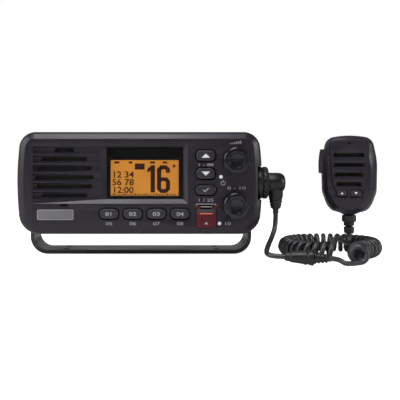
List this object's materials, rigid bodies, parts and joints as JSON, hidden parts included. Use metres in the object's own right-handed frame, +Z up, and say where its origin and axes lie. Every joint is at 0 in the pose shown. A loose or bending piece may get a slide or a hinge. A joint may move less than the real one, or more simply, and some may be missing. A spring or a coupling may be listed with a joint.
{
  "type": "vhf marine radio",
  "caption": "Fixed-mount marine radio on a U bracket: bowed front panel with grille, amber display, keys and knobs, cast rear chassis, and a hand microphone on a curly cord.",
  "frame": {"origin": "centre of the bracket's underside, where it stands on the surface it is screwed to", "axes": "+Z up, -Y towards the user in front of the panel, +X to the user's right"},
  "size_m": [0.2757, 0.1469, 0.0933],
  "materials": {
    "case_plastic": "matte",
    "cast_metal": "black paint",
    "bracket_paint": "satin",
    "knob_plastic": "satin",
    "key_rubber": "matte",
    "black_rubber": "matte",
    "plug_plastic": "satin",
    "cord_rubber": "satin",
    "lens": "clear",
    "display": "lit amber",
    "red_cover": "dark red",
    "red_key": "red",
    "plate_grey": "satin",
    "board": "green",
    "steel": "plated",
    "brass_insert": "turned",
    "speaker_paper": "matte",
    "mesh": "cloth"
  },
  "bodies": {
    "base": {"mounting_bracket": "bracket_paint", "lead_cord": "cord_rubber", "link_cord": "cord_rubber", "curly_cord": "cord_rubber", "cord_tail": "cord_rubber", "coupler_body": "plug_plastic", "coupler_boot": "black_rubber", "mic_front_shell": "case_plastic", "mic_rear_shell": "case_plastic", "mic_screws": "steel", "mic_hanger_stud": "steel", "mic_speaker": "speaker_paper", "mic_capsule": "speaker_paper", "mic_board": "board", "mic_boot": "black_rubber"},
    "radio": {"front_housing": "case_plastic", "rear_chassis": "cast_metal", "housing_gasket": "black_rubber", "chassis_screws": "steel", "pivot_inserts": "brass_insert", "pivot_washers": "black_rubber", "display_lens": "lens", "lcd_panel": "display", "speaker": "speaker_paper", "grille_mesh": "mesh", "key_mat": "key_rubber", "front_board": "board", "main_board": "board", "volume_encoder": "steel", "squelch_encoder": "steel", "cover_hinge_pin": "steel", "name_plate": "plate_grey", "mic_socket": "plug_plastic", "mic_plug": "plug_plastic", "plug_boot": "black_rubber", "antenna_socket": "steel", "power_inlet": "plug_plastic"},
    "clamp_left": {"clamp_knob_left": "knob_plastic"},
    "clamp_right": {"clamp_knob_right": "knob_plastic"},
    "volume": {"volume_knob": "knob_plastic", "volume_shaft": "steel"},
    "squelch": {"squelch_knob": "knob_plastic", "squelch_shaft": "steel"},
    "cover": {"distress_cover": "red_cover"},
    "distress": {"distress_button": "red_key"},
    "ring": {"plug_coupling_ring": "plug_plastic"},
    "talk": {"talk_bar": "black_rubber"},
    "mic_up": {"mic_up_key": "key_rubber"},
    "mic_down": {"mic_down_key": "key_rubber"},
    "call": {"call_key": "key_rubber"},
    "weather": {"weather_key": "key_rubber"},
    "clear": {"clear_key": "key_rubber"},
    "quick_channel": {"quick_channel_key": "key_rubber"},
    "channel_up": {"channel_up_key": "key_rubber"},
    "channel_down": {"channel_down_key": "key_rubber"},
    "enter": {"enter_key": "key_rubber"}
  },
  "joints": [
    {"name": "tilt", "type": "hinge", "parent": "base", "child": "radio", "pos_m": [0, 0, 0.056], "axis": [1, 0, 0], "range_deg": [-15, 15], "deforming": ["lead_cord"]},
    {"name": "clamp_left_turn", "type": "hinge", "parent": "radio", "child": "clamp_left", "pos_m": [-0.0856, 0, 0.056], "axis": [1, 0, 0], "range_deg": [0, 360]},
    {"name": "clamp_right_turn", "type": "hinge", "parent": "radio", "child": "clamp_right", "pos_m": [0.0856, 0, 0.056], "axis": [1, 0, 0], "range_deg": [0, 360]},
    {"name": "volume_turn", "type": "hinge", "parent": "radio", "child": "volume", "pos_m": [0.0691, -0.06, 0.0725], "axis": [0, 1, 0], "range_deg": [0, 280]},
    {"name": "squelch_turn", "type": "hinge", "parent": "radio", "child": "squelch", "pos_m": [0.0691, -0.06, 0.0404], "axis": [0, 1, 0], "range_deg": [0, 280]},
    {"name": "cover_hinge", "type": "hinge", "parent": "radio", "child": "cover", "pos_m": [0.0481, -0.057, 0.0389], "axis": [-1, 0, 0], "range_deg": [0, 85], "stiffness_Nm_per_rad": 0.004, "springref_deg": -20.05},
    {"name": "distress_press", "type": "slide", "parent": "radio", "child": "distress", "axis": [0, 1, 0], "range_m": [0, 0.0008], "stiffness_N_per_m": 1500},
    {"name": "ring_turn", "type": "hinge", "parent": "radio", "child": "ring", "pos_m": [0.0915, -0.046, 0.056], "axis": [1, 0, 0], "continuous": true},
    {"name": "talk_press", "type": "slide", "parent": "base", "child": "talk", "axis": [0.9744, -0.225, 0], "range_m": [0, 0.0015], "stiffness_N_per_m": 2000},
    {"name": "mic_up_press", "type": "slide", "parent": "base", "child": "mic_up", "axis": [0.225, 0.9744, 0], "range_m": [0, 0.0005], "stiffness_N_per_m": 2500},
    {"name": "mic_down_press", "type": "slide", "parent": "base", "child": "mic_down", "axis": [0.225, 0.9744, 0], "range_m": [0, 0.0005], "stiffness_N_per_m": 2500},
    {"name": "call_press", "type": "slide", "parent": "radio", "child": "call", "axis": [0, 1, 0], "range_m": [0, 0.0008], "stiffness_N_per_m": 1500},
    {"name": "weather_press", "type": "slide", "parent": "radio", "child": "weather", "axis": [0, 1, 0], "range_m": [0, 0.0008], "stiffness_N_per_m": 1500},
    {"name": "clear_press", "type": "slide", "parent": "radio", "child": "clear", "axis": [0, 1, 0], "range_m": [0, 0.0008], "stiffness_N_per_m": 1500},
    {"name": "quick_channel_press", "type": "slide", "parent": "radio", "child": "quick_channel", "axis": [0, 1, 0], "range_m": [0, 0.0008], "stiffness_N_per_m": 1500},
    {"name": "channel_up_press", "type": "slide", "parent": "radio", "child": "channel_up", "axis": [0, 1, 0], "range_m": [0, 0.0008], "stiffness_N_per_m": 1500},
    {"name": "channel_down_press", "type": "slide", "parent": "radio", "child": "channel_down", "axis": [0, 1, 0], "range_m": [0, 0.0008], "stiffness_N_per_m": 1500},
    {"name": "enter_press", "type": "slide", "parent": "radio", "child": "enter", "axis": [0, 1, 0], "range_m": [0, 0.0008], "stiffness_N_per_m": 1500}
  ]
}
